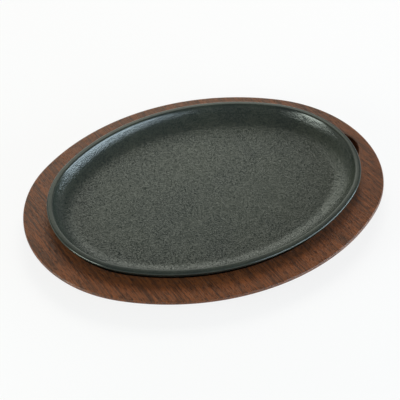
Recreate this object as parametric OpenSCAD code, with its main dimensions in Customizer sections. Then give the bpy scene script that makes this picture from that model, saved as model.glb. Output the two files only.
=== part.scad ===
// Oval cast iron sizzle platter, standing in the recess of its wooden underliner.
// Millimetres, +Z up, +X along the long axis. The origin is the middle of the underliner's underside.

/* [Platter outline] */
// Length of the platter over its rim
platter_length = 254; // [236:1:280]
// Width of the platter over its rim
platter_width = 190; // [180:1:210]
// How much less than half the width the radius of the round ends is
end_inset = 16; // [12:0.5:24]

/* [Platter section] */
// Height of the platter from its base to the top of its rim
platter_height = 17; // [14:0.5:22]
// Thickness of the flat floor
floor_thickness = 4.5; // [3:0.1:6]
// Width of the flat ground rim
rim_width = 4.4; // [3:0.1:7]
// Height of the upright band round the outside of the rim
rim_band = 1.5; // [1:0.1:3]
// Rounding of the rim's inner and outer edges
rim_rounding = 0.9; // [0.3:0.1:1]
// How far the wall leans outwards for each millimetre that it rises
wall_lean = 0.75; // [0.4:0.05:0.9]
// Radius of the hollow curve between the wall and the floor
inner_corner = 10.5; // [6:0.5:14]
// Radius of the curve between the outside of the wall and the base
outer_corner = 15; // [8:0.5:18]

/* [Underliner] */
// Thickness of the board
board_thickness = 16; // [13:0.5:22]
// Width of the border, from the recess to the board's edge
border_width = 23.5; // [20:0.5:40]
// Depth of the recess that the platter stands in
recess_depth = 8; // [4:0.5:9]
// Gap between the platter and the recess's edge, at the board's face
recess_gap = 0.8; // [0.4:0.1:2]
// Chamfer on the edge of the recess and of the finger notch
recess_chamfer = 0.5; // [0.2:0.1:1]
// Rounding of the border's outer top edge
top_rounding = 1.5; // [0.5:0.1:1.6]
// Height of the board's outer edge, above the undercut
edge_height = 2.5; // [2.2:0.1:6]
// How far the undercut runs in from the board's outer edge
undercut_run = 18; // [8:0.5:20]
// Rounding of the undercut's two edges
undercut_rounding = 0.9; // [0.3:0.3:1.2]

/* [Finger notch] */
// Reach of the finger notch, from the recess's edge towards the board's end
notch_reach = 14; // [9:0.5:18]
// Radius of the finger notch, seen from above
notch_radius = 22.5; // [16:0.5:30]

/* [Hidden] */
$fn = 160;
iron_colour = "#2e3230";
wood_colour = "#5c3a2b";
// Extra length that takes a cut clear of the face that it opens
cut_clear = 1;

// The outline is a four-centre oval. The end arcs and the side arcs share these centres at
// every offset, so each wall, gap and border keeps one width all the way round.
half_length = platter_length / 2;
half_width = platter_width / 2;
end_radius = half_width - end_inset;
end_centre = half_length - end_radius;
side_radius = (end_centre ^ 2 + half_width ^ 2 - end_radius ^ 2) / (2 * (half_width - end_radius));
side_centre = side_radius - half_width;
// Direction from an end arc's centre to the point where that arc meets a side arc
junction_angle = atan2(side_centre, end_centre);
// Reach along that direction that lies well outside the part
junction_reach = 2 * platter_length;

// How far in from the outline the leaning wall would meet the base and the floor, uncurved
base_corner_in = (platter_height - rim_band) * wall_lean;
floor_corner_in = rim_width + (platter_height - floor_thickness) * wall_lean;

// How far the outside of the platter lies in from its outline, at a height above its base
wall_angle = atan(wall_lean);
curve_top = outer_corner * (1 - sin(wall_angle));
flat_base_in = base_corner_in + outer_corner * tan((90 - wall_angle) / 2);
function outside_in(height) =
    height > platter_height - rim_band ? 0 :
    height > curve_top ? (platter_height - rim_band - height) * wall_lean :
    flat_base_in - sqrt(outer_corner ^ 2 - (outer_corner - height) ^ 2);

// Offsets of the recess and of the board's outer edge from the platter's outline
recess_offset = recess_gap - outside_in(recess_depth);
board_offset = recess_offset + border_width;
recess_floor = board_thickness - recess_depth;
undercut_height = board_thickness - edge_height;
notch_x = half_length + recess_offset + notch_reach - notch_radius;

// A section is a list of corners, [x, y, rounding], counter-clockwise
function spot(corners, i) =
    let (c = corners[(i + len(corners)) % len(corners)]) [c[0], c[1]];
function heading(a, b) = (b - a) / norm(b - a);
// Distance from a corner to the ends of its arc
function arc_reach(corners, i) =
    let (a = heading(spot(corners, i - 1), spot(corners, i)),
         b = heading(spot(corners, i), spot(corners, i + 1)))
    corners[i][2] * tan(acos(a * b) / 2);
function arc_start(corners, i) =
    spot(corners, i) - arc_reach(corners, i) * heading(spot(corners, i - 1), spot(corners, i));
function arc_end(corners, i) =
    spot(corners, i) + arc_reach(corners, i) * heading(spot(corners, i), spot(corners, i + 1));
function turns_left(corners, i) =
    cross(spot(corners, i) - spot(corners, i - 1), spot(corners, i + 1) - spot(corners, i)) > 0;
function arc_centre(corners, i) =
    let (a = heading(spot(corners, i - 1), spot(corners, i)))
    arc_start(corners, i) + corners[i][2] * (turns_left(corners, i) ? [-a[1], a[0]] : [a[1], -a[0]]);

// The part of a rounded corner that lies between its arc and the chord across it
module arc_part(corners, i) {
    intersection() {
        translate(arc_centre(corners, i)) circle(corners[i][2]);
        polygon([arc_start(corners, i), spot(corners, i), arc_end(corners, i)]);
    }
}

module section(corners) {
    last = len(corners) - 1;
    difference() {
        union() {
            polygon([for (i = [0:last]) each corners[i][2] > 0 ?
                [arc_start(corners, i), arc_end(corners, i)] : [spot(corners, i)]]);
            for (i = [0:last])
                if (corners[i][2] > 0 && turns_left(corners, i)) arc_part(corners, i);
        }
        for (i = [0:last])
            if (corners[i][2] > 0 && !turns_left(corners, i)) arc_part(corners, i);
    }
}

// A section moved out by a radius, and run in to the axis that it is then revolved round
module run_in(corners, radius) {
    moved = [for (c = corners) [radius + c[0], c[1], c[2]]];
    last = len(moved) - 1;
    section(concat([[0, moved[0][1], 0]], moved, [[0, moved[last][1], 0]]));
}

// A whole disc with the given section, turned about the centre of one of the side arcs
module turned_side(corners, side) {
    translate([0, side * side_centre, 0]) rotate(-90 * side)
        rotate_extrude() run_in(corners, side_radius);
}

// A solid whose level slices are all ovals, with the given section round its edge. The section's
// x is the offset from the platter's outline. Two whole turned ends overlap the middle, which is
// what two turned sides have in common, cut off where the end arcs take over from the side arcs.
module oval_solid(corners) {
    reach_x = junction_reach * cos(junction_angle);
    reach_y = junction_reach * sin(junction_angle);
    for (side = [-1, 1])
        translate([side * end_centre, 0, 0]) rotate_extrude() run_in(corners, end_radius);
    intersection() {
        turned_side(corners, -1);
        turned_side(corners, 1);
        linear_extrude(junction_reach, center = true) polygon([
            for (side = [1, -1], corner = [[reach_x, -reach_y], [0, 0], [reach_x, reach_y]])
                side * ([end_centre, 0] + corner)
        ]);
    }
}

// One casting: a leaning wall with a flat ground rim round a flat floor
module platter() {
    color(iron_colour) translate([0, 0, recess_floor]) difference() {
        oval_solid([
            [-base_corner_in, 0, outer_corner],
            [0, platter_height - rim_band, 0],
            [0, platter_height, rim_rounding],
            [-rim_width / 2, platter_height, 0]
        ]);
        oval_solid([
            [-floor_corner_in, floor_thickness, inner_corner],
            [-rim_width, platter_height, rim_rounding],
            [-rim_width / 2, platter_height, 0],
            [-rim_width / 2, platter_height + cut_clear, 0]
        ]);
    }
}

// The board before its recess is cut: a rounded outer edge over an undercut that fingers reach under
module board_blank() {
    oval_solid([
        [board_offset - undercut_run, 0, undercut_rounding],
        [board_offset, undercut_height, undercut_rounding],
        [board_offset, board_thickness, top_rounding]
    ]);
}

// What the cutter takes out for the platter and the finger notch, with chamfered edges
module recess_cut() {
    cut_height = recess_depth + cut_clear;
    chamfer_run = recess_chamfer + cut_clear;
    translate([0, 0, recess_floor]) oval_solid([
        [recess_offset, 0, 0],
        [recess_offset, recess_depth - recess_chamfer, 0],
        [recess_offset + chamfer_run, recess_depth + cut_clear, 0]
    ]);
    translate([notch_x, 0, recess_floor]) {
        cylinder(h = cut_height, r = notch_radius);
        translate([0, 0, recess_depth - recess_chamfer])
            cylinder(h = chamfer_run, r1 = notch_radius, r2 = notch_radius + chamfer_run);
    }
}

module underliner() {
    color(wood_colour) difference() {
        board_blank();
        recess_cut();
    }
}

platter();
underliner();
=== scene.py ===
# The looks of an oval cast iron sizzle platter on its stained wooden underliner, built round the
# packed CAD model. Metres, +Z up, +X along the long axis towards the finger notch.
import math

import bpy
from bpy.props import FloatProperty, FloatVectorProperty, IntProperty, PointerProperty
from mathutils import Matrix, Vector


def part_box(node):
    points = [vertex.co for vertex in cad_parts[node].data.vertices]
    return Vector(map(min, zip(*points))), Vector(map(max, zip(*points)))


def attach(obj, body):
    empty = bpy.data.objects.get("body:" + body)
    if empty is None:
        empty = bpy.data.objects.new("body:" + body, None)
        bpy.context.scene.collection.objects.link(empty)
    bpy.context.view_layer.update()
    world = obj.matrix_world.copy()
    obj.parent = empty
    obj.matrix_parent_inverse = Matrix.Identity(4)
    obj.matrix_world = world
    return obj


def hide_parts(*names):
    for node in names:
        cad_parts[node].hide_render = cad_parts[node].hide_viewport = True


bl_info = {
    "name": "Sizzle platter",
    "version": (1, 0, 0),
    "blender": (4, 5, 0),
    "location": "View3D > Sidebar > Sizzle platter",
    "description": "Oval cast iron platter with a pebbled skin, in the recess of a stained wooden "
                   "underliner",
    "category": "Object",
}

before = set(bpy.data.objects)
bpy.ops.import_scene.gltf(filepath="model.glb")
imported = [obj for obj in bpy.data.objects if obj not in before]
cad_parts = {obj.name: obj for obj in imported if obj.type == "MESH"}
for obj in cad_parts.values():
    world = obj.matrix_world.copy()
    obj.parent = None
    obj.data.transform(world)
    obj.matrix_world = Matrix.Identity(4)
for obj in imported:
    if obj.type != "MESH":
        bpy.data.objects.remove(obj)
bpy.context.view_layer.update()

MM = 0.001
# Points of a mesh that are closer than this become one
WELD = 0.02 * MM
WHITE = (1, 1, 1, 1)


def box_size(node):
    low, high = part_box(node)
    return Vector(high) - Vector(low)


PLATTER_SIZE = box_size("platter")
UNDERLINER_SIZE = box_size("underliner")
PLATTER_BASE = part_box("platter")[0][2]


# Colour, nodes and sections

def linear(hex_code):
    """An sRGB hex colour as a linear red, green and blue."""
    parts = [int(hex_code[i:i + 2], 16) / 255 for i in (1, 3, 5)]
    return tuple(c / 12.92 if c <= 0.04045 else ((c + 0.055) / 1.055) ** 2.4 for c in parts)


def add(tree, kind, inputs=None, **settings):
    """Adds a node, sets its options, and gives its inputs a value or a link."""
    node = tree.nodes.new(kind)
    for name, value in settings.items():
        setattr(node, name, value)
    for key, value in (inputs or {}).items():
        if isinstance(value, bpy.types.NodeSocket):
            tree.links.new(value, node.inputs[key])
        else:
            node.inputs[key].default_value = value
    return node


def rounded(corners, spacing, steps, guard=0.0):
    """The points of a section whose corners are (offset, height, rounding). A straight line gets
    a point at least every spacing, and with a guard one close to each end, which keeps it flat."""
    places = [Vector(corner[:2]) for corner in corners]
    curves = [[places[0]]]
    for before, here, after, corner in zip(places, places[1:], places[2:], corners[1:]):
        rounding = corner[2]
        if not rounding:
            curves.append([here])
            continue
        inward, onward = (before - here).normalized(), (after - here).normalized()
        half_turn = inward.angle(onward) / 2
        reach = rounding / math.tan(half_turn)
        middle = here + (inward + onward).normalized() * rounding / math.sin(half_turn)
        start, end = here + inward * reach - middle, here + onward * reach - middle
        sweep = start.angle(end)
        cells = max(steps, math.ceil(sweep * rounding / spacing))
        curves.append([middle + (start * math.sin((1 - i / cells) * sweep)
                                 + end * math.sin(i / cells * sweep)) / math.sin(sweep)
                       for i in range(cells + 1)])
    curves.append([places[-1]])
    points = list(curves[0])
    for curve in curves[1:]:
        a, b = points[-1], curve[0]
        length = (b - a).length
        ends = [guard / length, 1 - guard / length] if guard and length > 3 * guard else []
        # The slack keeps a rounding error from adding a cell
        slack = 0.01
        cells = math.ceil(length / spacing - slack)
        shares = sorted(ends + [i / cells for i in range(1, cells)])
        points += [a.lerp(b, share) for share in shares] + curve
    return points


# Sizes and colours that a user would change

class OvalSizes(bpy.types.PropertyGroup):
    """The four-centre oval that the platter's outline is"""
    length: FloatProperty(name="Length", description="Length of the platter over its rim",
                          default=PLATTER_SIZE.x, unit="LENGTH", precision=4)
    width: FloatProperty(name="Width", description="Width of the platter over its rim",
                         default=PLATTER_SIZE.y, unit="LENGTH", precision=4)
    end_inset: FloatProperty(name="End inset", unit="LENGTH", precision=4, default=16 * MM,
                             description="How much less than half the width the end radius is")
    around: IntProperty(name="Steps around", default=880, min=80,
                        description="Steps of the mesh around the oval, a multiple of 4")


class PlatterSizes(bpy.types.PropertyGroup):
    """The platter's section and its cast skin"""
    height: FloatProperty(name="Height", description="Height from the base to the top of the rim",
                          default=PLATTER_SIZE.z, unit="LENGTH", precision=4)
    floor_thickness: FloatProperty(name="Floor thickness", unit="LENGTH", precision=4,
                                   default=4.5 * MM, description="Thickness of the flat floor")
    rim_width: FloatProperty(name="Rim width", description="Width of the flat ground rim",
                             default=4.4 * MM, unit="LENGTH", precision=4)
    rim_band: FloatProperty(name="Rim band", unit="LENGTH", precision=4, default=1.5 * MM,
                            description="Height of the upright band round the outside of the rim")
    rim_rounding: FloatProperty(name="Rim rounding", description="Rounding of the outer edge",
                                default=1.3 * MM, unit="LENGTH", precision=4)
    inner_rounding: FloatProperty(name="Inner rounding", unit="LENGTH", precision=4,
                                  default=1.5 * MM, description="Rounding of the inner edge")
    wall_lean: FloatProperty(name="Wall lean", default=0.75,
                             description="How far the outside leans out for each unit it rises")
    inner_lean: FloatProperty(name="Inner lean", default=0.51,
                              description="How far the inside leans out at the top of the wall")
    inner_corner: FloatProperty(name="Inner corner", unit="LENGTH", precision=4, default=18.5 * MM,
                                description="Radius of the hollow curve between wall and floor")
    outer_corner: FloatProperty(name="Outer corner", unit="LENGTH", precision=4, default=15 * MM,
                                description="Radius of the curve between the outside and the base")
    pebble_size: FloatProperty(name="Pebble size", unit="LENGTH", precision=4, default=2.0 * MM,
                               description="Width of the pebbles in the cast skin")
    pebble_height: FloatProperty(name="Pebble height", unit="LENGTH", precision=5,
                                 default=0.05 * MM, description="Height of the pebbles")
    seed: IntProperty(name="Seed", description="Seed of the cast skin", default=7)


class UnderlinerSizes(bpy.types.PropertyGroup):
    """The board, its recess and its finger notch"""
    thickness: FloatProperty(name="Thickness", description="Thickness of the board",
                             default=UNDERLINER_SIZE.z, unit="LENGTH", precision=4)
    border_width: FloatProperty(name="Border width", unit="LENGTH", precision=4,
                                default=23.5 * MM,
                                description="From the recess to the board's edge")
    recess_depth: FloatProperty(name="Recess depth", unit="LENGTH", precision=4,
                                default=UNDERLINER_SIZE.z - PLATTER_BASE,
                                description="Depth of the recess that the platter stands in")
    recess_chamfer: FloatProperty(name="Recess chamfer", unit="LENGTH", precision=4,
                                  default=0.5 * MM,
                                  description="Chamfer on the recess's and the notch's edge")
    top_rounding: FloatProperty(name="Top rounding", unit="LENGTH", precision=4,
                                default=1.5 * MM, description="Rounding of the outer top edge")
    edge_height: FloatProperty(name="Edge height", unit="LENGTH", precision=4, default=2.5 * MM,
                               description="Height of the outer edge, above the undercut")
    undercut_run: FloatProperty(name="Undercut run", unit="LENGTH", precision=4, default=18 * MM,
                                description="How far the undercut runs in from the outer edge")
    undercut_rounding: FloatProperty(name="Undercut rounding", unit="LENGTH", precision=4,
                                     default=0.9 * MM,
                                     description="Rounding of the undercut's two edges")
    notch_reach: FloatProperty(name="Notch reach", unit="LENGTH", precision=4, default=14 * MM,
                               description="Reach of the finger notch from the recess's edge")
    notch_radius: FloatProperty(name="Notch radius", unit="LENGTH", precision=4,
                                default=22.5 * MM, description="Radius of the notch, from above")


class FinishColours(bpy.types.PropertyGroup):
    """Colours of the two finishes"""
    iron: FloatVectorProperty(name="Seasoned iron", description="The cast skin under its seasoning",
                              subtype="COLOR", size=3, default=linear("#1f2523"))
    # The lighter colour stands for thin seasoning, and also for painted glints on facets and
    # painted light on pebble tops
    thin_seasoning_and_glint: FloatVectorProperty(name="Thin seasoning", description="Where the seasoning is thin",
                                   subtype="COLOR", size=3, default=linear("#363a32"))
    wood_light: FloatVectorProperty(name="Light wood", description="Stained early wood",
                                    subtype="COLOR", size=3, default=linear("#7a4422"))
    wood_dark: FloatVectorProperty(name="Dark wood", description="Stained late wood",
                                   subtype="COLOR", size=3, default=linear("#4b2b17"))
    pore: FloatVectorProperty(name="Pores", description="Stain gathered in the wood's open pores",
                              subtype="COLOR", size=3, default=linear("#20120b"))
    floor: FloatVectorProperty(name="Floor", description="The pale sweep that the board stands on",
                               subtype="COLOR", size=3, default=linear("#ececec"))


class StageSettings(bpy.types.PropertyGroup):
    """The camera and the lamps of the studio"""
    azimuth: FloatProperty(name="Azimuth", subtype="ANGLE", default=math.radians(-25.4),
                           description="Direction of the camera from straight in front")
    elevation: FloatProperty(name="Elevation", subtype="ANGLE", default=math.radians(42.5),
                             description="Height of the camera above the table, as an angle")
    distance: FloatProperty(name="Distance", unit="LENGTH", default=0.769,
                            description="From the camera to the point it is aimed at")
    focal_length: FloatProperty(name="Focal length", subtype="DISTANCE_CAMERA", default=89.3,
                                description="Focal length on a 36 mm sensor")
    aim: FloatVectorProperty(name="Aim", subtype="XYZ", size=3, unit="LENGTH",
                             default=(-11.0 * MM, -10.5 * MM, 16 * MM),
                             description="The point in the middle of the picture")
    key_power: FloatProperty(name="Key", description="Power of the softbox above and behind",
                             default=7.0, min=0, unit="POWER")
    back_power: FloatProperty(name="Back lamp", description="Power of the broad lamp behind",
                              default=10.2, min=0, unit="POWER")
    right_power: FloatProperty(name="Right lamp", description="Power of the cool lamp on the right",
                               default=14.0, min=0, unit="POWER")
    left_power: FloatProperty(name="Left lamp", description="Power of the lamp on the left",
                              default=6.5, min=0, unit="POWER")
    ambient: FloatProperty(name="Ambient", description="Strength of the light from all round",
                           default=0.20, min=0)


# Geometry Nodes

def new_tree(name, sockets):
    """A geometry tree with the given named inputs, its input node and its output node."""
    tree = bpy.data.node_groups.new(name, "GeometryNodeTree")
    tree.interface.new_socket("Geometry", in_out="OUTPUT", socket_type="NodeSocketGeometry")
    for label, kind in sockets:
        tree.interface.new_socket(label, in_out="INPUT", socket_type="NodeSocket" + kind)
    return tree, add(tree, "NodeGroupInput").outputs, add(tree, "NodeGroupOutput")


OVAL_INPUTS = [("End Centre", "Float"), ("End Radius", "Float"), ("Side Centre", "Float"),
               ("Side Radius", "Float"), ("Around", "Int")]


def oval_curve_tree():
    """A closed curve round the four-centre oval, with even steps and level normals."""
    tree, sizes, result = new_tree("Four-centre oval", OVAL_INPUTS)
    # The oval is a circle of far finer steps, whose arcs are moved and then stepped evenly
    fine_steps = 4096
    circle = add(tree, "GeometryNodeCurvePrimitiveCircle", {"Resolution": fine_steps,
                                                            "Radius": 1.0})
    outward = add(tree, "GeometryNodeInputPosition").outputs[0]
    across = add(tree, "ShaderNodeSeparateXYZ", {0: outward}).outputs
    # An end arc takes over where the outward direction passes the line through both centres
    diagonal = add(tree, "ShaderNodeCombineXYZ", {"X": sizes["End Centre"],
                                                  "Y": sizes["Side Centre"]})
    between = add(tree, "ShaderNodeVectorMath", {0: diagonal.outputs[0]},
                  operation="LENGTH").outputs["Value"]
    cosine = add(tree, "ShaderNodeMath", {0: sizes["End Centre"], 1: between}, operation="DIVIDE")
    steepness = add(tree, "ShaderNodeMath", {0: across["X"]}, operation="ABSOLUTE")
    at_end = add(tree, "FunctionNodeCompare", {0: steepness.outputs[0], 1: cosine.outputs[0]},
                 operation="GREATER_THAN").outputs[0]
    side_x, side_y = (add(tree, "ShaderNodeMath", {0: across[axis]}, operation="SIGN").outputs[0]
                      for axis in ("X", "Y"))
    end_x = add(tree, "ShaderNodeMath", {0: side_x, 1: sizes["End Centre"]},
                operation="MULTIPLY").outputs[0]
    side_back = add(tree, "ShaderNodeMath", {0: side_y, 1: sizes["Side Centre"]},
                    operation="MULTIPLY").outputs[0]
    side_y_centre = add(tree, "ShaderNodeMath", {0: side_back, 1: -1.0}, operation="MULTIPLY")
    end_centre = add(tree, "ShaderNodeCombineXYZ", {"X": end_x}).outputs[0]
    side_centre = add(tree, "ShaderNodeCombineXYZ", {"Y": side_y_centre.outputs[0]}).outputs[0]
    centre = add(tree, "GeometryNodeSwitch", {"Switch": at_end, "False": side_centre,
                                              "True": end_centre}, input_type="VECTOR")
    radius = add(tree, "GeometryNodeSwitch", {"Switch": at_end, "False": sizes["Side Radius"],
                                              "True": sizes["End Radius"]}, input_type="FLOAT")
    spoke = add(tree, "ShaderNodeVectorMath", {0: outward, "Scale": radius.outputs[0]},
                operation="SCALE")
    place = add(tree, "ShaderNodeVectorMath", {0: centre.outputs[0], 1: spoke.outputs[0]},
                operation="ADD")
    moved = add(tree, "GeometryNodeSetPosition", {"Geometry": circle.outputs["Curve"],
                                                  "Position": place.outputs[0]})
    even = add(tree, "GeometryNodeResampleCurve", {"Curve": moved.outputs[0],
                                                   "Count": sizes["Around"]})
    level = add(tree, "GeometryNodeSetCurveNormal", {"Curve": even.outputs[0]}, mode="Z_UP")
    tree.links.new(level.outputs[0], result.inputs[0])
    return tree


def swept_section(tree, sizes, oval):
    """The oval's curve, and the object's own section swept round it."""
    path = add(tree, "GeometryNodeGroup", node_tree=oval)
    for label, _ in OVAL_INPUTS:
        tree.links.new(sizes[label], path.inputs[label])
    profile = add(tree, "GeometryNodeMeshToCurve", {"Mesh": sizes["Geometry"]})
    sweep = add(tree, "GeometryNodeCurveToMesh", {"Curve": path.outputs[0],
                                                  "Profile Curve": profile.outputs[0]})
    outward = add(tree, "GeometryNodeFlipFaces", {"Mesh": sweep.outputs[0]})
    return path.outputs[0], outward.outputs[0]


def flat_face(tree, path, offset):
    """One flat face that fills the path, moved out by the offset."""
    normal = add(tree, "GeometryNodeInputNormal").outputs[0]
    outward = add(tree, "ShaderNodeVectorMath", {0: normal, "Scale": offset},
                  operation="SCALE").outputs[0]
    edge = add(tree, "GeometryNodeSetPosition", {"Geometry": path, "Offset": outward}).outputs[0]
    return add(tree, "GeometryNodeFillCurve", {"Curve": edge}, mode="NGONS").outputs[0]


def welded(tree, parts):
    """The parts as one mesh, closed where their edges meet."""
    joined = add(tree, "GeometryNodeJoinGeometry")
    for part in parts:
        tree.links.new(part, joined.inputs[0])
    return add(tree, "GeometryNodeMergeByDistance", {"Geometry": joined.outputs[0],
                                                     "Distance": WELD}).outputs[0]


def end_tree(tree, body, material, result):
    """Ends a tree with real geometry that has the material on it."""
    real = add(tree, "GeometryNodeRealizeInstances", {"Geometry": body})
    finished = add(tree, "GeometryNodeSetMaterial", {"Geometry": real.outputs[0],
                                                     "Material": material})
    tree.links.new(finished.outputs[0], result.inputs[0])


def platter_tree(oval):
    """The section round the oval, a floor of even cells, and pebbles in the cast skin."""
    tree, sizes, result = new_tree("Cast platter", [("Geometry", "Geometry")] + OVAL_INPUTS + [
        ("Cells Along", "Int"), ("Cells Across", "Int"), ("Floor Offset", "Float"),
        ("Floor Height", "Float"), ("Base Offset", "Float"),
        ("Pebble Size", "Float"), ("Pebble Height", "Float"), ("Seed", "Float"),
        ("Material", "Material")])
    path, ring = swept_section(tree, sizes, oval)

    # The floor is a square grid whose square rings turn into ovals, so its cells stay even. One
    # quarter is read off the curve, and the signs of the grid's place mirror it to the others.
    lines = [add(tree, "ShaderNodeMath", {0: sizes[label], 1: 1.0}, operation="ADD").outputs[0]
             for label in ("Cells Along", "Cells Across")]
    grid = add(tree, "GeometryNodeMeshGrid", {"Size X": 2.0, "Size Y": 2.0, "Vertices X": lines[0],
                                              "Vertices Y": lines[1]})
    at = add(tree, "GeometryNodeInputPosition").outputs[0]
    away = add(tree, "ShaderNodeVectorMath", {0: at}, operation="ABSOLUTE").outputs[0]
    u, v, _ = add(tree, "ShaderNodeSeparateXYZ", {0: away}).outputs
    ring_at = add(tree, "ShaderNodeMath", {0: u, 1: v}, operation="MAXIMUM").outputs[0]
    edge_u, edge_v = (add(tree, "ShaderNodeMath", {0: share, 1: ring_at},
                          operation="DIVIDE").outputs[0] for share in (u, v))
    half_along, half_across = (
        add(tree, "ShaderNodeMath", {0: sizes[label], 1: 0.5}, operation="MULTIPLY").outputs[0]
        for label in ("Cells Along", "Cells Across"))
    up_end = add(tree, "ShaderNodeMath", {0: edge_v, 1: half_across}, operation="MULTIPLY")
    from_corner = add(tree, "ShaderNodeMath", {0: 1.0, 1: edge_u}, operation="SUBTRACT")
    along_side = add(tree, "ShaderNodeMath", {0: from_corner.outputs[0], 1: half_along,
                                              2: half_across}, operation="MULTIPLY_ADD")
    on_end = add(tree, "FunctionNodeCompare", {0: u, 1: v}, operation="GREATER_EQUAL").outputs[0]
    steps = add(tree, "GeometryNodeSwitch", {"Switch": on_end, "False": along_side.outputs[0],
                                             "True": up_end.outputs[0]}, input_type="FLOAT")
    factor = add(tree, "ShaderNodeMath", {0: steps.outputs[0], 1: sizes["Around"]},
                 operation="DIVIDE")
    edge = add(tree, "GeometryNodeSampleCurve", {"Curves": path, "Factor": factor.outputs[0]},
               mode="FACTOR", use_all_curves=True)
    pulled_in = add(tree, "ShaderNodeVectorMath", {0: edge.outputs["Normal"],
                                                   "Scale": sizes["Floor Offset"]},
                    operation="SCALE").outputs[0]
    floor_edge = add(tree, "ShaderNodeVectorMath", {0: edge.outputs["Position"], 1: pulled_in},
                     operation="ADD").outputs[0]
    quarter = add(tree, "ShaderNodeVectorMath", {0: floor_edge, "Scale": ring_at},
                  operation="SCALE").outputs[0]
    signs = add(tree, "ShaderNodeVectorMath", {0: at}, operation="SIGN").outputs[0]
    height = add(tree, "ShaderNodeCombineXYZ", {"Z": sizes["Floor Height"]}).outputs[0]
    place = add(tree, "ShaderNodeVectorMath", {0: quarter, 1: signs, 2: height},
                operation="MULTIPLY_ADD").outputs[0]
    floor = add(tree, "GeometryNodeSetPosition", {"Geometry": grid.outputs["Mesh"],
                                                  "Position": place}).outputs[0]
    skinned = add(tree, "GeometryNodeStoreNamedAttribute", {"Geometry": floor, "Name": "cast_skin",
                                                            "Value": 1.0},
                  data_type="FLOAT", domain="POINT").outputs[0]

    base = flat_face(tree, path, sizes["Base Offset"])
    base_down = add(tree, "GeometryNodeFlipFaces", {"Mesh": base}).outputs[0]
    closed = welded(tree, (base_down, skinned, ring))

    # Sand-cast pebbles: rounded lumps of uneven height, whose tops stay in the section's surface
    finer = add(tree, "ShaderNodeMath", {0: 1.0, 1: sizes["Pebble Size"]}, operation="DIVIDE")
    here = add(tree, "GeometryNodeInputPosition").outputs[0]
    lumps = add(tree, "ShaderNodeTexNoise", {"Vector": here, "W": sizes["Seed"],
                                             "Scale": finer.outputs[0], "Detail": 1.0,
                                             "Roughness": 0.6}, noise_dimensions="4D")
    sunken = add(tree, "ShaderNodeMapRange", {"Value": lumps.outputs[0], "From Min": 0.3,
                                              "From Max": 0.7, "To Min": -1.0, "To Max": 0.0})
    skin = add(tree, "GeometryNodeInputNamedAttribute", {"Name": "cast_skin"}, data_type="FLOAT")
    relief = add(tree, "ShaderNodeMath", {0: sunken.outputs[0], 1: sizes["Pebble Height"]},
                 operation="MULTIPLY").outputs[0]
    masked = add(tree, "ShaderNodeMath", {0: relief, 1: skin.outputs["Attribute"]},
                 operation="MULTIPLY").outputs[0]
    normal = add(tree, "GeometryNodeInputNormal").outputs[0]
    lift = add(tree, "ShaderNodeVectorMath", {0: normal, "Scale": masked}, operation="SCALE")
    pebbled = add(tree, "GeometryNodeSetPosition", {"Geometry": closed, "Offset": lift.outputs[0]})
    smooth = add(tree, "GeometryNodeSetShadeSmooth", {"Geometry": pebbled.outputs[0]})
    end_tree(tree, smooth.outputs[0], sizes["Material"], result)
    return tree


def underliner_tree(oval):
    """The border's section round the oval, two flat faces inside it, and the notch cut out."""
    tree, sizes, result = new_tree("Underliner", [("Geometry", "Geometry")] + OVAL_INPUTS + [
        ("Inner Offset", "Float"), ("Recess Floor", "Float"), ("Thickness", "Float"),
        ("Chamfer", "Float"), ("Notch Place", "Float"), ("Notch Radius", "Float"),
        ("Material", "Material")])
    path, ring = swept_section(tree, sizes, oval)
    flat = flat_face(tree, path, sizes["Inner Offset"])
    floor_at = add(tree, "ShaderNodeCombineXYZ", {"Z": sizes["Recess Floor"]}).outputs[0]
    recess_floor = add(tree, "GeometryNodeTransform", {"Geometry": flat,
                                                       "Translation": floor_at}).outputs[0]
    underside = add(tree, "GeometryNodeFlipFaces", {"Mesh": flat}).outputs[0]
    board = welded(tree, (underside, recess_floor, ring))

    # The notch's cutters: a drum down to the recess's floor, and a cone for the chamfer, which
    # stand clear of the board's face
    clear, cutter_sides = 1 * MM, 180
    depth = add(tree, "ShaderNodeMath", {0: sizes["Thickness"], 1: sizes["Recess Floor"]},
                operation="SUBTRACT").outputs[0]
    drum_height = add(tree, "ShaderNodeMath", {0: depth, 1: clear}, operation="ADD").outputs[0]
    chamfer_run = add(tree, "ShaderNodeMath", {0: sizes["Chamfer"], 1: clear},
                      operation="ADD").outputs[0]
    flared = add(tree, "ShaderNodeMath", {0: sizes["Notch Radius"], 1: chamfer_run},
                 operation="ADD").outputs[0]
    cone_z = add(tree, "ShaderNodeMath", {0: sizes["Thickness"], 1: sizes["Chamfer"]},
                 operation="SUBTRACT").outputs[0]
    cut = add(tree, "GeometryNodeMeshBoolean", {"Mesh 1": board}, operation="DIFFERENCE",
              solver="EXACT")
    for height, top_radius, z in ((drum_height, sizes["Notch Radius"], sizes["Recess Floor"]),
                                  (chamfer_run, flared, cone_z)):
        cutter = add(tree, "GeometryNodeMeshCone", {
            "Vertices": cutter_sides, "Radius Top": top_radius,
            "Radius Bottom": sizes["Notch Radius"], "Depth": height}).outputs["Mesh"]
        place = add(tree, "ShaderNodeCombineXYZ", {"X": sizes["Notch Place"], "Z": z}).outputs[0]
        moved = add(tree, "GeometryNodeTransform", {"Geometry": cutter, "Translation": place})
        tree.links.new(moved.outputs[0], cut.inputs["Mesh 2"])
    end_tree(tree, cut.outputs["Mesh"], sizes["Material"], result)
    return tree


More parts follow.
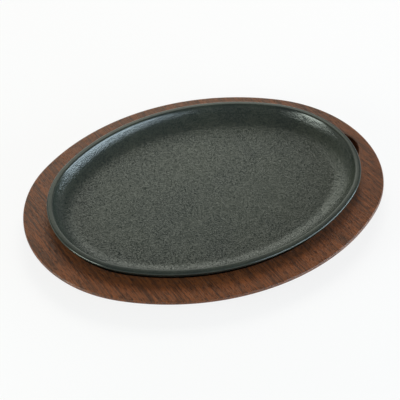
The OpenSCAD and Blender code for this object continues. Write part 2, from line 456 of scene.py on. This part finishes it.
def grown(name, section, skin, tree, values):
    """A plain mesh object, made by a geometry tree from the points of its section, each with its
    share of cast skin."""
    outline = bpy.data.meshes.new(name + "_section")
    # A curve with level normals turns its section's second axis downwards
    outline.from_pydata([(offset, -height, 0) for offset, height in section],
                        [(i, i + 1) for i in range(len(section) - 1)], [])
    outline.attributes.new("cast_skin", "FLOAT", "POINT").data.foreach_set("value", skin)
    drawing = bpy.data.objects.new(name + "_section", outline)
    bpy.context.scene.collection.objects.link(drawing)
    modifier = drawing.modifiers.new(tree.name, "NODES")
    modifier.node_group = tree
    for item in tree.interface.items_tree:
        if item.in_out == "INPUT" and item.name in values:
            modifier[item.identifier] = values[item.name]
    depsgraph = bpy.context.evaluated_depsgraph_get()
    mesh = bpy.data.meshes.new_from_object(drawing.evaluated_get(depsgraph))
    fewest_faces = 100
    if len(mesh.polygons) < fewest_faces:
        raise RuntimeError(name + ": the geometry tree made no body")
    drawing.modifiers.remove(modifier)
    bpy.data.objects.remove(drawing)
    mesh.name = name
    piece = bpy.data.objects.new(name, mesh)
    bpy.context.scene.collection.objects.link(piece)
    return piece


def oval_values(oval):
    """The tree's inputs for the platter's outline."""
    half_width = oval.width / 2
    end_radius = half_width - oval.end_inset
    end_centre = oval.length / 2 - end_radius
    side_radius = (end_centre ** 2 + half_width ** 2 - end_radius ** 2) / (2 * oval.end_inset)
    return {"End Centre": end_centre, "End Radius": end_radius,
            "Side Centre": side_radius - half_width, "Side Radius": side_radius}


# Materials

def new_material(name):
    """A material's tree, its shader node and its Object coordinates."""
    material = bpy.data.materials.new(name)
    material.use_nodes = True
    tree = material.node_tree
    shader = next(node for node in tree.nodes if node.type == "BSDF_PRINCIPLED")
    return material, tree, shader, add(tree, "ShaderNodeTexCoord").outputs["Object"]


def seasoned_iron(colours):
    """Sand-cast grey iron, oiled and baked: a hard, dark, slightly green film over fine facets,
    which gives a soft gloss that is grainy close up. Part of that grain is painted glint and
    painted pebble light in the colour. The rim is ground, so it shines evenly."""
    material, tree, shader, place = new_material("seasoned_sand_cast_iron")
    skin = add(tree, "ShaderNodeAttribute", attribute_name="cast_skin").outputs["Fac"]
    # Patches of thicker and thinner seasoning, 35 mm across
    patches = add(tree, "ShaderNodeTexNoise", {"Vector": place, "Scale": 1 / (35 * MM),
                                               "Detail": 3.0}).outputs[0]
    # Pebbles, 1.4 mm apart
    pebbles = add(tree, "ShaderNodeTexNoise", {"Vector": place, "Scale": 1 / (1.4 * MM),
                                               "Detail": 2.0, "Roughness": 0.6}).outputs[0]
    # Facets left by the sand, drawn 0.5 mm across: the real 0.3 mm is finer than a pixel
    facets = add(tree, "ShaderNodeTexVoronoi", {"Vector": place, "Scale": 1 / (0.5 * MM)}).outputs
    chance = add(tree, "ShaderNodeSeparateXYZ", {0: facets["Color"]}).outputs["X"]
    # The seasoning is thinner in 35 mm patches. The same lighter colour is painted glint on facets
    # chosen at random, and painted light on the pebbles' tops with painted shade in the hollows
    # between them
    thin_patches_and_pebble_shading = add(tree, "ShaderNodeMath", {0: patches, 1: pebbles}, operation="MULTIPLY").outputs[0]
    spread = add(tree, "ShaderNodeMapRange", {"Value": thin_patches_and_pebble_shading, "From Min": 0.10,
                                              "From Max": 0.42}).outputs[0]
    # Painted glint: each facet gets a random lighter or darker colour, and the same random value
    # sets its shine
    facet_glint = add(tree, "ShaderNodeMapRange", {"Value": chance, "To Min": -0.5,
                                              "To Max": 0.7}).outputs[0]
    share = add(tree, "ShaderNodeMath", {0: facet_glint, 1: skin, 2: spread}, operation="MULTIPLY_ADD",
                use_clamp=True).outputs[0]
    # This mix paints glints and pebble light and shade into the colour, beside the thin seasoning
    colour = add(tree, "ShaderNodeMix", {"Factor": share, 6: (*colours.iron, 1),
                                         7: (*colours.thin_seasoning_and_glint, 1)}, data_type="RGBA")
    tree.links.new(colour.outputs[2], shader.inputs["Base Color"])
    # Each facet shines more or less, and the ground rim evenly
    gloss = add(tree, "ShaderNodeMath", {0: facet_glint, 1: skin, 2: 0.4},
                operation="MULTIPLY_ADD").outputs[0]
    tree.links.new(gloss, shader.inputs["Specular IOR Level"])
    cast = add(tree, "ShaderNodeMapRange", {"Value": pebbles, "To Min": 0.23,
                                            "To Max": 0.17}).outputs[0]
    rough = add(tree, "ShaderNodeMix", {0: skin, 2: 0.18, 3: cast}, data_type="FLOAT")
    tree.links.new(rough.outputs[0], shader.inputs["Roughness"])
    strength = add(tree, "ShaderNodeMapRange", {"Value": skin, "To Min": 0.05,
                                                "To Max": 0.8}).outputs[0]
    bump = add(tree, "ShaderNodeBump", {"Strength": strength, "Distance": 0.12 * MM,
                                        "Height": facets["Distance"]})
    tree.links.new(bump.outputs[0], shader.inputs["Normal"])
    return material


def stained_wood(colours):
    """Rubberwood, planed and sanded, with a reddish brown stain and a thin satin varnish: plain
    bands along the grain, and short dark pores that the stain gathers in."""
    material, tree, shader, place = new_material("stained_rubberwood")
    shader.inputs["Coat Weight"].default_value = 0.2
    shader.inputs["Coat Roughness"].default_value = 0.25
    # The grain runs across the board, 8 degrees off its short axis
    grain = add(tree, "ShaderNodeMapping", {"Vector": place,
                                            "Rotation": (0, 0, math.radians(-8))}).outputs[0]
    # Growth bands, 5 mm wide and 100 mm long
    banded = add(tree, "ShaderNodeMapping", {"Vector": grain, "Scale": (1, 0.05, 1)}).outputs[0]
    bands = add(tree, "ShaderNodeTexNoise", {"Vector": banded, "Scale": 1 / (5 * MM),
                                             "Detail": 3.0, "Distortion": 0.4}).outputs[0]
    # Fibres, in strands 1.1 mm wide and 28 mm long with finer ones among them
    stretched = add(tree, "ShaderNodeMapping", {"Vector": grain, "Scale": (1, 0.04, 1)}).outputs[0]
    fibres = add(tree, "ShaderNodeTexNoise", {"Vector": stretched, "Scale": 1 / (1.1 * MM),
                                              "Detail": 3.0, "Roughness": 0.65}).outputs[0]
    tone = add(tree, "ShaderNodeMix", {0: 0.25, 2: fibres, 3: bands}, data_type="FLOAT").outputs[0]
    share = add(tree, "ShaderNodeMapRange", {"Value": tone, "From Min": 0.41,
                                             "From Max": 0.57}).outputs[0]
    colour = add(tree, "ShaderNodeMix", {"Factor": share, 6: (*colours.wood_dark, 1),
                                         7: (*colours.wood_light, 1)}, data_type="RGBA")
    # Pores, drawn 0.5 mm wide and 5 mm long: real ones are 0.2 mm wide
    short = add(tree, "ShaderNodeMapping", {"Vector": grain, "Scale": (1, 0.1, 1)}).outputs[0]
    ticks = add(tree, "ShaderNodeTexNoise", {"Vector": short, "Scale": 1 / (0.5 * MM),
                                             "Detail": 1.0}).outputs[0]
    pores = add(tree, "ShaderNodeMapRange", {"Value": ticks, "From Min": 0.52,
                                             "From Max": 0.66, "To Max": 0.75}).outputs[0]
    stained = add(tree, "ShaderNodeMix", {"Factor": pores, 6: colour.outputs[2],
                                          7: (*colours.pore, 1)}, data_type="RGBA")
    tree.links.new(stained.outputs[2], shader.inputs["Base Color"])
    shader.inputs["Specular IOR Level"].default_value = 0.35
    rough = add(tree, "ShaderNodeMapRange", {"Value": fibres, "To Min": 0.38, "To Max": 0.55})
    tree.links.new(rough.outputs[0], shader.inputs["Roughness"])
    sunk = add(tree, "ShaderNodeMath", {0: fibres, 1: pores}, operation="SUBTRACT").outputs[0]
    bump = add(tree, "ShaderNodeBump", {"Strength": 1.0, "Distance": 0.15 * MM, "Height": sunk})
    tree.links.new(bump.outputs[0], shader.inputs["Normal"])
    tree.links.new(bump.outputs[0], shader.inputs["Coat Normal"])
    return material


def sight_rays(tree):
    """The camera's own rays, and those that it sees by way of something that shines."""
    rays = add(tree, "ShaderNodeLightPath").outputs
    shining = add(tree, "ShaderNodeMath", {0: rays["Is Glossy Ray"],
                                           1: rays["Is Transmission Ray"]},
                  operation="MAXIMUM").outputs[0]
    return rays["Is Camera Ray"], shining


def pale_sweep(colours):
    """Matt paper sweep: near white to the eye, and it keeps part of the object's shadow."""
    material, tree, shader, _ = new_material("pale_paper_sweep")
    shader.inputs["Base Color"].default_value = (*colours.floor, 1)
    shader.inputs["Roughness"].default_value = 0.9
    straight, shining = sight_rays(tree)
    seen = add(tree, "ShaderNodeMath", {0: straight, 1: shining}, operation="MAXIMUM").outputs[0]
    # What is left of the paper's own shading keeps the shadow
    white_share = 0.82
    share = add(tree, "ShaderNodeMath", {0: seen, 1: white_share}, operation="MULTIPLY").outputs[0]
    white = add(tree, "ShaderNodeEmission", {"Color": WHITE, "Strength": 1.0}).outputs[0]
    mix = add(tree, "ShaderNodeMixShader", {0: share, 1: shader.outputs[0], 2: white}).outputs[0]
    output = next(node for node in tree.nodes if node.type == "OUTPUT_MATERIAL")
    tree.links.new(mix, output.inputs["Surface"])
    return material


def studio_world(ambient):
    """Even light from all round, and a white background. The camera sees that white wherever it
    looks, and what shines mirrors it near the horizon, where it stands behind the object."""
    world = bpy.data.worlds.new("studio")
    world.use_nodes = True
    tree = world.node_tree
    tree.nodes.clear()
    straight, shining = sight_rays(tree)
    # The white reaches up to 6 degrees and fades out by 12, which have sines of 0.1 and 0.2
    direction = add(tree, "ShaderNodeTexCoord").outputs["Generated"]
    height = add(tree, "ShaderNodeSeparateXYZ", {0: direction}).outputs["Z"]
    low = add(tree, "ShaderNodeMapRange", {"Value": height, "From Min": 0.1, "From Max": 0.2,
                                           "To Min": 1.0, "To Max": 0.0}).outputs[0]
    mirrored = add(tree, "ShaderNodeMath", {0: shining, 1: low}, operation="MULTIPLY").outputs[0]
    seen = add(tree, "ShaderNodeMath", {0: straight, 1: mirrored}, operation="MAXIMUM").outputs[0]
    strength = add(tree, "ShaderNodeMix", {0: seen, 2: ambient, 3: 1.0},
                   data_type="FLOAT").outputs[0]
    light = add(tree, "ShaderNodeBackground", {"Color": WHITE, "Strength": strength})
    add(tree, "ShaderNodeOutputWorld", {"Surface": light.outputs[0]})
    return world


# Operators

class SIZZLE_OT_cast_platter(bpy.types.Operator):
    """Make the cast iron platter in its place in the recess"""
    bl_idname = "sizzle.cast_platter"
    bl_label = "Cast platter"

    def execute(self, context):
        scene = context.scene
        oval, sizes = scene.platter_outline, scene.platter_sizes
        base_in = -(sizes.height - sizes.rim_band) * sizes.wall_lean
        floor_in = -sizes.rim_width - (sizes.height - sizes.floor_thickness) * sizes.inner_lean

        def curve_reach(radius, lean):
            return radius * math.tan((math.pi / 2 - math.atan(lean)) / 2)

        # The section runs this far into the flat base and the flat floor
        flat_in = 0.4 * MM
        base_offset = base_in - curve_reach(sizes.outer_corner, sizes.wall_lean) - flat_in
        floor_offset = floor_in - curve_reach(sizes.inner_corner, sizes.inner_lean) - flat_in
        # The recess hides the outside below this height, and its steps are longer there
        hidden_height = 6 * MM
        hidden = rounded([
            (base_offset, 0, 0),
            (base_in, 0, sizes.outer_corner),
            (base_in + hidden_height * sizes.wall_lean, hidden_height, 0)],
            spacing=4 * MM, steps=4)
        outside = rounded([
            hidden[-1],
            (0, sizes.height - sizes.rim_band, 0),
            (0, sizes.height, sizes.rim_rounding),
            (-sizes.rim_width / 2, sizes.height, 0)], spacing=1.3 * MM, steps=5)
        inside = rounded([
            (-sizes.rim_width / 2, sizes.height, 0),
            (-sizes.rim_width, sizes.height, sizes.inner_rounding),
            (floor_in, sizes.floor_thickness, sizes.inner_corner),
            (floor_offset, sizes.floor_thickness, 0)], spacing=0.9 * MM, steps=5)
        section = hidden + outside[1:] + inside[1:]
        # The cast skin stops 0.8 mm below the rim's top and at the base, and fades in over 2 mm
        ground_depth, fade = 0.8 * MM, 2 * MM
        skin = [min(1, max(0, (sizes.height - point.y - ground_depth) / fade), point.y / fade)
                for point in section]
        # With this share of the steps on half an end, the floor's cells are about square
        across_share = 0.111
        cells_across = 2 * round(oval.around * across_share)
        values = oval_values(oval)
        values.update({
            "Around": oval.around, "Cells Across": cells_across,
            "Cells Along": oval.around // 2 - cells_across,
            "Floor Offset": floor_offset, "Floor Height": sizes.floor_thickness,
            "Base Offset": base_offset, "Pebble Size": sizes.pebble_size,
            "Pebble Height": sizes.pebble_height, "Seed": float(sizes.seed),
            "Material": seasoned_iron(scene.finish_colours)})
        piece = grown("cast_platter", section, skin, platter_tree(oval_curve_tree()), values)
        for vertex in piece.data.vertices:
            vertex.co.z += PLATTER_BASE
        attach(piece, "root")
        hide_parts("platter")
        return {"FINISHED"}


class SIZZLE_OT_wooden_underliner(bpy.types.Operator):
    """Make the stained board with its recess, undercut edge and finger notch"""
    bl_idname = "sizzle.wooden_underliner"
    bl_label = "Wooden underliner"

    def execute(self, context):
        scene = context.scene
        oval, sizes = scene.platter_outline, scene.underliner_sizes
        # Offsets from the platter's outline. Inside the inner one, the recess's floor and the
        # underside are one flat face each
        edge = (UNDERLINER_SIZE.x - oval.length) / 2
        recess_edge = edge - sizes.border_width
        flat_in = 4 * MM
        inner = recess_edge - flat_in
        top, floor = sizes.thickness, sizes.thickness - sizes.recess_depth
        section = rounded([
            (inner, 0, 0),
            (edge - sizes.undercut_run, 0, sizes.undercut_rounding),
            (edge, top - sizes.edge_height, sizes.undercut_rounding),
            (edge, top, sizes.top_rounding),
            (recess_edge + sizes.recess_chamfer, top, 0),
            (recess_edge, top - sizes.recess_chamfer, 0),
            (recess_edge, floor, 0),
            (inner, floor, 0)], spacing=2 * MM, steps=6, guard=0.2 * MM)
        values = oval_values(oval)
        values.update({
            "Around": oval.around // 2, "Inner Offset": inner, "Recess Floor": floor,
            "Thickness": top, "Chamfer": sizes.recess_chamfer,
            "Notch Place": oval.length / 2 + recess_edge + sizes.notch_reach - sizes.notch_radius,
            "Notch Radius": sizes.notch_radius,
            "Material": stained_wood(scene.finish_colours)})
        piece = grown("wooden_underliner", section, [0.0] * len(section),
                      underliner_tree(oval_curve_tree()), values)
        piece.data.shade_smooth()
        crease = math.radians(30)
        piece.data.set_sharp_from_angle(angle=crease)
        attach(piece, "root")
        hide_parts("underliner")
        return {"FINISHED"}


class SIZZLE_OT_studio_stage(bpy.types.Operator):
    """Make the pale floor, the soft lamps and the camera at the photograph's angle"""
    bl_idname = "sizzle.studio_stage"
    bl_label = "Studio stage"

    def execute(self, context):
        scene = context.scene
        stage, colours = scene.stage_settings, scene.finish_colours
        # In metres, from the middle to the floor's edges
        reach = 6.0
        corners = [(-reach, -reach, 0), (reach, -reach, 0), (reach, reach, 0), (-reach, reach, 0)]
        mesh = bpy.data.meshes.new("studio_floor")
        mesh.from_pydata(corners, [], [(0, 1, 2, 3)])
        mesh.materials.append(pale_sweep(colours))
        floor = bpy.data.objects.new("studio_floor", mesh)
        scene.collection.objects.link(floor)

        aim = Vector(stage.aim)
        right = Vector((math.cos(stage.azimuth), math.sin(stage.azimuth), 0))
        back = Vector((-right.y, right.x, 0))
        up = Vector((0, 0, 1))

        def aimed(name, data, place):
            thing = bpy.data.objects.new(name, data)
            thing.location = place
            thing.rotation_euler = (aim - place).to_track_quat("-Z", "Y").to_euler()
            scene.collection.objects.link(thing)
            return thing

        lens = bpy.data.cameras.new("camera")
        lens.lens = stage.focal_length
        lens.sensor_width = 36
        lens.clip_start = 10 * MM
        towards = math.sin(stage.elevation) * up - math.cos(stage.elevation) * back
        scene.camera = aimed("camera", lens, aim + stage.distance * towards)

        # A softbox's place is counted from the aim, and its size is its width and height
        def softbox(name, place, size, power, colour):
            lamp = bpy.data.lights.new(name, "AREA")
            lamp.shape = "RECTANGLE"
            lamp.size, lamp.size_y = size
            lamp.energy = power
            lamp.color = linear(colour)
            return aimed(name, lamp, aim + place)

        key = softbox("key_softbox", 0.75 * back + 0.1 * right + 0.95 * up, (0.7, 0.5),
                      stage.key_power, "#fffaf2")
        # The key gives light and shadow only: what shines in the iron is the lamp behind it
        key.visible_glossy = False
        softbox("back_softbox", 1.78 * back - 0.3 * right + 0.86 * up, (1.5, 1.42),
                stage.back_power, "#f8fff0")
        softbox("right_softbox", 0.9 * right - 0.22 * back + 0.15 * up, (1.25, 0.28),
                stage.right_power, "#d4ecfa")
        softbox("left_softbox", -0.8 * right - 0.4 * back + 0.25 * up, (0.5, 0.3),
                stage.left_power, "#f2fff4")

        scene.world = studio_world(stage.ambient)
        scene.view_settings.view_transform = "Standard"
        return {"FINISHED"}


class SIZZLE_PT_sidebar(bpy.types.Panel):
    """The pieces, with their sizes and colours"""
    bl_label = "Sizzle platter"
    bl_idname = "SIZZLE_PT_sidebar"
    bl_space_type = "VIEW_3D"
    bl_region_type = "UI"
    bl_category = "Sizzle platter"

    def draw(self, context):
        for operator in OPERATORS:
            self.layout.operator(operator.bl_idname)
        for group, settings in GROUPS.items():
            box = self.layout.box()
            box.label(text=group.__doc__)
            for name in group.__annotations__:
                box.prop(getattr(context.scene, settings), name)


GROUPS = {OvalSizes: "platter_outline", PlatterSizes: "platter_sizes",
          UnderlinerSizes: "underliner_sizes", FinishColours: "finish_colours",
          StageSettings: "stage_settings"}
OPERATORS = (SIZZLE_OT_wooden_underliner, SIZZLE_OT_cast_platter, SIZZLE_OT_studio_stage)


def register():
    for group, name in GROUPS.items():
        bpy.utils.register_class(group)
        setattr(bpy.types.Scene, name, PointerProperty(type=group))
    for kind in (*OPERATORS, SIZZLE_PT_sidebar):
        bpy.utils.register_class(kind)


def unregister():
    for kind in (SIZZLE_PT_sidebar, *reversed(OPERATORS)):
        bpy.utils.unregister_class(kind)
    for group, name in GROUPS.items():
        delattr(bpy.types.Scene, name)
        bpy.utils.unregister_class(group)


def main():
    register()
    bpy.ops.sizzle.wooden_underliner()
    bpy.ops.sizzle.cast_platter()
    bpy.ops.sizzle.studio_stage()


if __name__ == "__main__":
    main()
